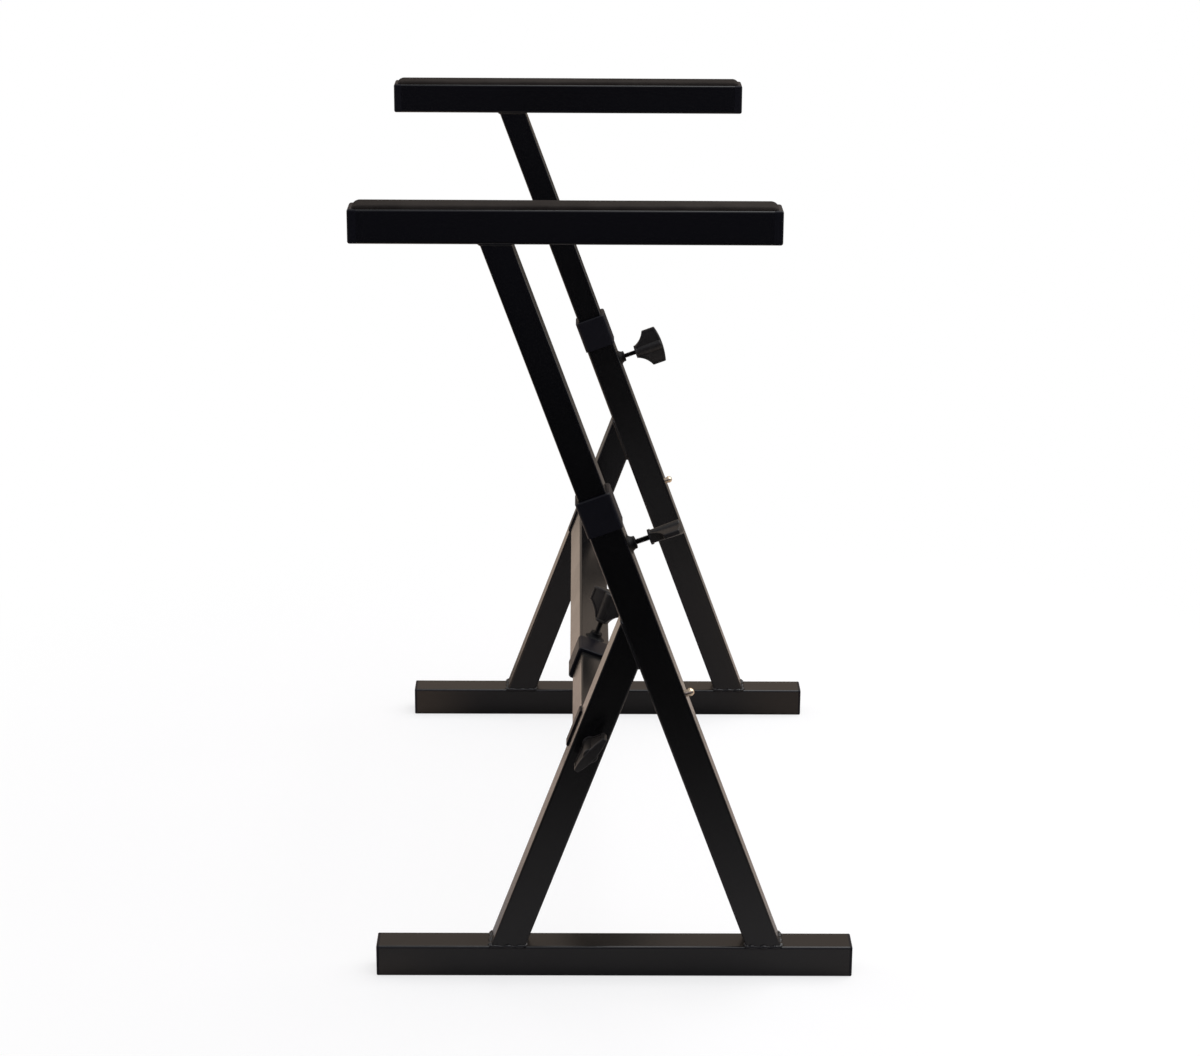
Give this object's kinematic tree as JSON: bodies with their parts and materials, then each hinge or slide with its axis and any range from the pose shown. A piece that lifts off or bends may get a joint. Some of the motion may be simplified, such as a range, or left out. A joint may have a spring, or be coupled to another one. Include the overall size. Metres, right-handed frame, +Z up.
{
  "type": "keyboard stand",
  "caption": "Black steel keyboard stand: two A-shaped side frames with sliding rubber-topped arms, joined by a telescopic crossbar and held by wing knobs.",
  "frame": {"origin": "middle of the footprint, on the floor", "axes": "+X along the bases and arms, to the right in the picture; +Y along the crossbar, away from the viewer; +Z up"},
  "size_m": [0.5244, 0.857, 0.8385],
  "materials": {
    "black_powder_coat": "semi-gloss black powder coat",
    "black_plastic": "satin black moulded plastic",
    "knob_plastic": "satin dark grey moulded plastic",
    "zinc_steel": "black oxide screw steel",
    "stop_screw_steel": "bright yellow zinc plate",
    "pad_rubber": "matte black rubber"
  },
  "bodies": {
    "far_frame": {"far_base_tube": "black_powder_coat", "far_base_plugs": "black_plastic", "far_main_leg": "black_powder_coat", "far_strut": "black_powder_coat", "far_leg_collar": "black_plastic", "far_clamp_boss": "black_powder_coat", "far_stop_screw": "stop_screw_steel", "far_crossbar_saddle": "black_plastic", "far_saddle_nut": "zinc_steel", "crossbar_outer_tube": "black_powder_coat", "crossbar_collar": "black_plastic", "crossbar_clamp_boss": "black_powder_coat"},
    "near_frame": {"near_base_tube": "black_powder_coat", "near_base_plugs": "black_plastic", "near_main_leg": "black_powder_coat", "near_strut": "black_powder_coat", "near_leg_collar": "black_plastic", "near_clamp_boss": "black_powder_coat", "near_stop_screw": "stop_screw_steel", "near_crossbar_saddle": "black_plastic", "near_saddle_nut": "zinc_steel", "crossbar_inner_tube": "black_powder_coat", "crossbar_glide": "black_plastic"},
    "near_riser": {"near_riser_tube": "black_powder_coat", "near_riser_glide": "black_plastic", "near_arm_tube": "black_powder_coat", "near_arm_end_caps": "black_plastic", "near_arm_pad": "pad_rubber"},
    "near_height_stud": {"near_height_stud": "zinc_steel"},
    "near_height_knob": {"near_height_knob": "knob_plastic"},
    "near_strut_bolt": {"near_strut_bolt": "zinc_steel"},
    "near_strut_knob": {"near_strut_knob": "knob_plastic"},
    "far_riser": {"far_riser_tube": "black_powder_coat", "far_riser_glide": "black_plastic", "far_arm_tube": "black_powder_coat", "far_arm_end_caps": "black_plastic", "far_arm_pad": "pad_rubber"},
    "far_height_stud": {"far_height_stud": "zinc_steel"},
    "far_height_knob": {"far_height_knob": "knob_plastic"},
    "far_strut_bolt": {"far_strut_bolt": "zinc_steel"},
    "far_strut_knob": {"far_strut_knob": "knob_plastic"},
    "crossbar_stud": {"crossbar_stud": "zinc_steel"},
    "crossbar_knob": {"crossbar_knob": "knob_plastic"}
  },
  "joints": [
    {"name": "width_slide", "type": "slide", "parent": "far_frame", "child": "near_frame", "axis": [0, -1, 0], "range_m": [-0.16, 0.16]},
    {"name": "near_height_slide", "type": "slide", "parent": "near_frame", "child": "near_riser", "axis": [-0.3469, 0, 0.9379], "range_m": [-0.071, 0.08]},
    {"name": "near_height_knob_thread", "type": "slide", "parent": "near_frame", "child": "near_height_stud", "axis": [0.9379, 0, 0.3469], "range_m": [0, 0.004]},
    {"name": "near_height_knob_turn", "type": "hinge", "parent": "near_height_stud", "child": "near_height_knob", "pos_m": [0.0194, -0.375, 0.4836], "axis": [0.9379, 0, 0.3469], "range_deg": [-1, 1441]},
    {"name": "near_strut_knob_thread", "type": "slide", "parent": "near_frame", "child": "near_strut_bolt", "axis": [0, -1, 0], "range_m": [0, 0.005]},
    {"name": "near_strut_knob_turn", "type": "hinge", "parent": "near_strut_bolt", "child": "near_strut_knob", "pos_m": [-0.01989, -0.3925, 0.27], "axis": [0, -1, 0], "range_deg": [-1, 1441]},
    {"name": "far_height_slide", "type": "slide", "parent": "far_frame", "child": "far_riser", "axis": [-0.3469, 0, 0.9379], "range_m": [-0.071, 0.08]},
    {"name": "far_height_knob_thread", "type": "slide", "parent": "far_frame", "child": "far_height_stud", "axis": [0.9379, 0, 0.3469], "range_m": [0, 0.004]},
    {"name": "far_height_knob_turn", "type": "hinge", "parent": "far_height_stud", "child": "far_height_knob", "pos_m": [0.0194, 0.375, 0.4836], "axis": [0.9379, 0, 0.3469], "range_deg": [-1, 1441]},
    {"name": "far_strut_knob_thread", "type": "slide", "parent": "far_frame", "child": "far_strut_bolt", "axis": [0, 1, 0], "range_m": [0, 0.005]},
    {"name": "far_strut_knob_turn", "type": "hinge", "parent": "far_strut_bolt", "child": "far_strut_knob", "pos_m": [-0.01989, 0.3925, 0.27], "axis": [0, 1, 0], "range_deg": [-1, 1441]},
    {"name": "crossbar_knob_thread", "type": "slide", "parent": "far_frame", "child": "crossbar_stud", "axis": [0.3469, 0, 0.9379], "range_m": [0, 0.004]},
    {"name": "crossbar_knob_turn", "type": "hinge", "parent": "crossbar_stud", "child": "crossbar_knob", "pos_m": [-0.01381, -0.12, 0.28641], "axis": [0.3469, 0, 0.9379], "range_deg": [-1, 1441]}
  ],
  "couplings": [
    {"joint": "near_height_knob_turn", "follows": "near_height_knob_thread", "rad_per_m": 6283.2},
    {"joint": "near_strut_knob_turn", "follows": "near_strut_knob_thread", "rad_per_m": 5026.5},
    {"joint": "far_height_knob_turn", "follows": "far_height_knob_thread", "rad_per_m": 6283.2},
    {"joint": "far_strut_knob_turn", "follows": "far_strut_knob_thread", "rad_per_m": 5026.5},
    {"joint": "crossbar_knob_turn", "follows": "crossbar_knob_thread", "rad_per_m": 6283.2}
  ]
}
